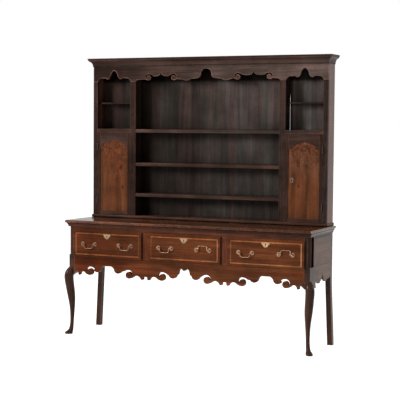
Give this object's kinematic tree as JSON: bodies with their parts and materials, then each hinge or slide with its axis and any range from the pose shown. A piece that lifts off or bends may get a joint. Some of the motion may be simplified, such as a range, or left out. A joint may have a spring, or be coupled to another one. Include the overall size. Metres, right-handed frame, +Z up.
{
  "type": "welsh dresser",
  "caption": "Oak dresser: drawers on cabriole legs with a fretted apron, under a rack of open shelves between cupboards with arched doors.",
  "frame": {"origin": "on the floor under the middle of the board", "axes": "+Z up, -Y towards the person at the drawers, +X to that person's right"},
  "size_m": [1.9314, 0.511, 2.028],
  "materials": {
    "oak": "dark waxed oak, worn at the edges",
    "rack_oak": "nearly black waxed oak",
    "drawer_oak": "red-brown waxed oak with a lighter inlaid band",
    "inside_oak": "bare oak",
    "door_oak": "dark waxed oak",
    "panel_oak": "orange-brown waxed oak",
    "bone": "yellowed bone",
    "brass": "aged, dull",
    "iron": "dark, dull"
  },
  "bodies": {
    "carcase": {"dresser_board": "oak", "board_moulding": "oak", "front_leg_left": "oak", "front_leg_right": "oak", "rear_leg_left": "oak", "rear_leg_right": "oak", "knee_brackets": "oak", "quarter_columns": "oak", "drawer_rail": "oak", "drawer_dividers": "oak", "front_apron": "oak", "side_panels": "oak", "side_aprons": "oak", "base_back": "inside_oak", "drawer_runners": "inside_oak", "rack_plinth": "rack_oak", "rack_side_left": "rack_oak", "rack_side_right": "rack_oak", "rack_dividers": "rack_oak", "rack_stiles": "rack_oak", "frieze": "rack_oak", "cornice": "rack_oak", "rack_top_board": "rack_oak", "long_shelves": "rack_oak", "niche_shelves": "rack_oak", "cupboard_tops": "rack_oak", "back_boards": "rack_oak", "fixed_hinge_leaves": "iron"},
    "drawer_left": {"drawer_left_front": "drawer_oak", "drawer_left_box": "inside_oak", "drawer_left_escutcheon": "bone", "drawer_left_handle_posts": "brass", "drawer_left_lock": "iron"},
    "drawer_left_bail_left": {"drawer_left_bail_left": "brass"},
    "drawer_left_bail_right": {"drawer_left_bail_right": "brass"},
    "drawer_middle": {"drawer_middle_front": "drawer_oak", "drawer_middle_box": "inside_oak", "drawer_middle_escutcheon": "bone", "drawer_middle_handle_posts": "brass", "drawer_middle_lock": "iron"},
    "drawer_middle_bail_left": {"drawer_middle_bail_left": "brass"},
    "drawer_middle_bail_right": {"drawer_middle_bail_right": "brass"},
    "drawer_right": {"drawer_right_front": "drawer_oak", "drawer_right_box": "inside_oak", "drawer_right_escutcheon": "bone", "drawer_right_handle_posts": "brass", "drawer_right_lock": "iron"},
    "drawer_right_bail_left": {"drawer_right_bail_left": "brass"},
    "drawer_right_bail_right": {"drawer_right_bail_right": "brass"},
    "door_left": {"door_left_stiles": "door_oak", "door_left_rails": "door_oak", "door_left_panel": "panel_oak", "door_left_hinge_leaves": "iron"},
    "door_right": {"door_right_stiles": "door_oak", "door_right_rails": "door_oak", "door_right_panel": "panel_oak", "door_right_hinge_leaves": "iron", "door_right_escutcheon": "brass", "door_right_lock": "iron"}
  },
  "joints": [
    {"name": "drawer_left_slide", "type": "slide", "parent": "carcase", "child": "drawer_left", "axis": [0, -1, 0], "range_m": [0, 0.33]},
    {"name": "drawer_left_bail_left_swing", "type": "hinge", "parent": "drawer_left", "child": "drawer_left_bail_left", "pos_m": [-0.76033, -0.2425, 0.67], "axis": [-1, 0, 0], "range_deg": [-20.5, 200.5]},
    {"name": "drawer_left_bail_right_swing", "type": "hinge", "parent": "drawer_left", "child": "drawer_left_bail_right", "pos_m": [-0.46633, -0.2425, 0.67], "axis": [-1, 0, 0], "range_deg": [-20.5, 200.5]},
    {"name": "drawer_middle_slide", "type": "slide", "parent": "carcase", "child": "drawer_middle", "axis": [0, -1, 0], "range_m": [0, 0.33]},
    {"name": "drawer_middle_bail_left_swing", "type": "hinge", "parent": "drawer_middle", "child": "drawer_middle_bail_left", "pos_m": [-0.147, -0.2425, 0.67], "axis": [-1, 0, 0], "range_deg": [-20.5, 200.5]},
    {"name": "drawer_middle_bail_right_swing", "type": "hinge", "parent": "drawer_middle", "child": "drawer_middle_bail_right", "pos_m": [0.147, -0.2425, 0.67], "axis": [-1, 0, 0], "range_deg": [-221, 0]},
    {"name": "drawer_right_slide", "type": "slide", "parent": "carcase", "child": "drawer_right", "axis": [0, -1, 0], "range_m": [0, 0.33]},
    {"name": "drawer_right_bail_left_swing", "type": "hinge", "parent": "drawer_right", "child": "drawer_right_bail_left", "pos_m": [0.46633, -0.2425, 0.67], "axis": [-1, 0, 0], "range_deg": [-20.5, 200.5]},
    {"name": "drawer_right_bail_right_swing", "type": "hinge", "parent": "drawer_right", "child": "drawer_right_bail_right", "pos_m": [0.76033, -0.2425, 0.67], "axis": [-1, 0, 0], "range_deg": [-221, 0]},
    {"name": "door_left_hinge", "type": "hinge", "parent": "carcase", "child": "door_left", "pos_m": [-0.8908, 0.1179, 1.176], "axis": [0, 0, -1], "range_deg": [0, 170]},
    {"name": "door_right_hinge", "type": "hinge", "parent": "carcase", "child": "door_right", "pos_m": [0.8908, 0.1179, 1.176], "axis": [0, 0, 1], "range_deg": [0, 170]}
  ]
}
